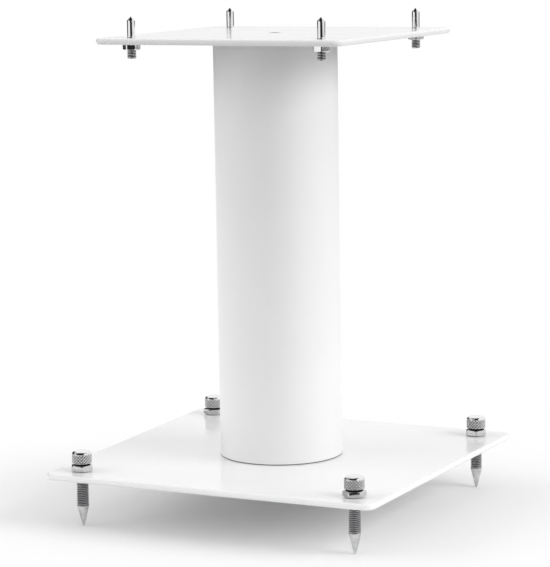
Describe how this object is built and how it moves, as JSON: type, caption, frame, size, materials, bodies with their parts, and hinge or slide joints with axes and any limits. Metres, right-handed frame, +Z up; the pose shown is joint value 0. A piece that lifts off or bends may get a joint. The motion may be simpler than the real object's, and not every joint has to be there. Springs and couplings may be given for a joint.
{
  "type": "speaker stand",
  "caption": "Column speaker stand: round tube between flat steel plates, adjustable spike feet with lock nuts and knurled caps, and pointed pins on top that carry the speaker.",
  "frame": {"origin": "on the floor below the column's axis, at the centre of the base plate", "axes": "+Z up, +X to the right along the front edge, +Y to the back"},
  "size_m": [0.307, 0.294, 0.417],
  "materials": {
    "white_powder_coat": "smooth white powder coat, satin gloss",
    "bright_chrome": "bright chrome plate",
    "turned_steel": "nickel plated, fine turning marks",
    "zinc_steel": "bright zinc plate",
    "black_steel": "black oxide"
  },
  "bodies": {
    "frame": {"base_plate": "white_powder_coat", "column_tube": "white_powder_coat", "lower_end_plate": "zinc_steel", "upper_end_plate": "zinc_steel", "top_plate": "white_powder_coat", "top_plate_screw": "black_steel", "base_bolt": "zinc_steel", "base_washer": "zinc_steel"},
    "spike_front_left": {"foot_spike_front_left": "turned_steel"},
    "knob_front_left": {"foot_knob_front_left": "bright_chrome"},
    "lock_nut_front_left": {"foot_lock_nut_front_left": "bright_chrome"},
    "pin_front_left": {"top_pin_front_left": "bright_chrome"},
    "jam_nut_front_left": {"pin_jam_nut_front_left": "bright_chrome"},
    "spike_front_right": {"foot_spike_front_right": "turned_steel"},
    "knob_front_right": {"foot_knob_front_right": "bright_chrome"},
    "lock_nut_front_right": {"foot_lock_nut_front_right": "bright_chrome"},
    "pin_front_right": {"top_pin_front_right": "bright_chrome"},
    "jam_nut_front_right": {"pin_jam_nut_front_right": "bright_chrome"},
    "spike_back_left": {"foot_spike_back_left": "turned_steel"},
    "knob_back_left": {"foot_knob_back_left": "bright_chrome"},
    "lock_nut_back_left": {"foot_lock_nut_back_left": "bright_chrome"},
    "pin_back_left": {"top_pin_back_left": "bright_chrome"},
    "jam_nut_back_left": {"pin_jam_nut_back_left": "bright_chrome"},
    "spike_back_right": {"foot_spike_back_right": "turned_steel"},
    "knob_back_right": {"foot_knob_back_right": "bright_chrome"},
    "lock_nut_back_right": {"foot_lock_nut_back_right": "bright_chrome"},
    "pin_back_right": {"top_pin_back_right": "bright_chrome"},
    "jam_nut_back_right": {"pin_jam_nut_back_right": "bright_chrome"}
  },
  "joints": [
    {"name": "foot_height_front_left", "type": "slide", "parent": "frame", "child": "spike_front_left", "axis": [0, 0, 1], "range_m": [0, 0.012]},
    {"name": "knob_turn_front_left", "type": "hinge", "parent": "spike_front_left", "child": "knob_front_left", "pos_m": [-0.1225, -0.1245, 0.0524], "axis": [0, 0, 1], "range_deg": [0, 2880]},
    {"name": "lock_nut_turn_front_left", "type": "hinge", "parent": "frame", "child": "lock_nut_front_left", "pos_m": [-0.1225, -0.1245, 0.049], "axis": [0, 0, 1], "range_deg": [0, 45]},
    {"name": "foot_height_front_right", "type": "slide", "parent": "frame", "child": "spike_front_right", "axis": [0, 0, 1], "range_m": [0, 0.012]},
    {"name": "knob_turn_front_right", "type": "hinge", "parent": "spike_front_right", "child": "knob_front_right", "pos_m": [0.1225, -0.1245, 0.0524], "axis": [0, 0, 1], "range_deg": [0, 2880]},
    {"name": "lock_nut_turn_front_right", "type": "hinge", "parent": "frame", "child": "lock_nut_front_right", "pos_m": [0.1225, -0.1245, 0.049], "axis": [0, 0, 1], "range_deg": [0, 45]},
    {"name": "foot_height_back_left", "type": "slide", "parent": "frame", "child": "spike_back_left", "axis": [0, 0, 1], "range_m": [0, 0.012]},
    {"name": "knob_turn_back_left", "type": "hinge", "parent": "spike_back_left", "child": "knob_back_left", "pos_m": [-0.128, 0.1245, 0.0524], "axis": [0, 0, 1], "range_deg": [0, 2880]},
    {"name": "lock_nut_turn_back_left", "type": "hinge", "parent": "frame", "child": "lock_nut_back_left", "pos_m": [-0.128, 0.1245, 0.049], "axis": [0, 0, 1], "range_deg": [0, 45]},
    {"name": "foot_height_back_right", "type": "slide", "parent": "frame", "child": "spike_back_right", "axis": [0, 0, 1], "range_m": [0, 0.012]},
    {"name": "knob_turn_back_right", "type": "hinge", "parent": "spike_back_right", "child": "knob_back_right", "pos_m": [0.128, 0.1245, 0.0524], "axis": [0, 0, 1], "range_deg": [0, 2880]},
    {"name": "lock_nut_turn_back_right", "type": "hinge", "parent": "frame", "child": "lock_nut_back_right", "pos_m": [0.128, 0.1245, 0.049], "axis": [0, 0, 1], "range_deg": [0, 45]},
    {"name": "pin_height_front_left", "type": "slide", "parent": "frame", "child": "pin_front_left", "axis": [0, 0, 1], "range_m": [-0.006, 0.007]},
    {"name": "jam_nut_turn_front_left", "type": "hinge", "parent": "frame", "child": "jam_nut_front_left", "pos_m": [-0.08437, -0.092, 0.3925], "axis": [0, 0, 1], "range_deg": [-45, 0]},
    {"name": "pin_height_front_right", "type": "slide", "parent": "frame", "child": "pin_front_right", "axis": [0, 0, 1], "range_m": [-0.006, 0.007]},
    {"name": "jam_nut_turn_front_right", "type": "hinge", "parent": "frame", "child": "jam_nut_front_right", "pos_m": [0.08437, -0.092, 0.3925], "axis": [0, 0, 1], "range_deg": [-45, 0]},
    {"name": "pin_height_back_left", "type": "slide", "parent": "frame", "child": "pin_back_left", "axis": [0, 0, 1], "range_m": [-0.006, 0.007]},
    {"name": "jam_nut_turn_back_left", "type": "hinge", "parent": "frame", "child": "jam_nut_back_left", "pos_m": [-0.08763, 0.092, 0.3925], "axis": [0, 0, 1], "range_deg": [-45, 0]},
    {"name": "pin_height_back_right", "type": "slide", "parent": "frame", "child": "pin_back_right", "axis": [0, 0, 1], "range_m": [-0.006, 0.007]},
    {"name": "jam_nut_turn_back_right", "type": "hinge", "parent": "frame", "child": "jam_nut_back_right", "pos_m": [0.08763, 0.092, 0.3925], "axis": [0, 0, 1], "range_deg": [-45, 0]}
  ],
  "couplings": [
    {"joint": "knob_turn_front_left", "follows": "foot_height_front_left", "rad_per_m": 4188.8},
    {"joint": "knob_turn_front_right", "follows": "foot_height_front_right", "rad_per_m": 4188.8},
    {"joint": "knob_turn_back_left", "follows": "foot_height_back_left", "rad_per_m": 4188.8},
    {"joint": "knob_turn_back_right", "follows": "foot_height_back_right", "rad_per_m": 4188.8}
  ]
}
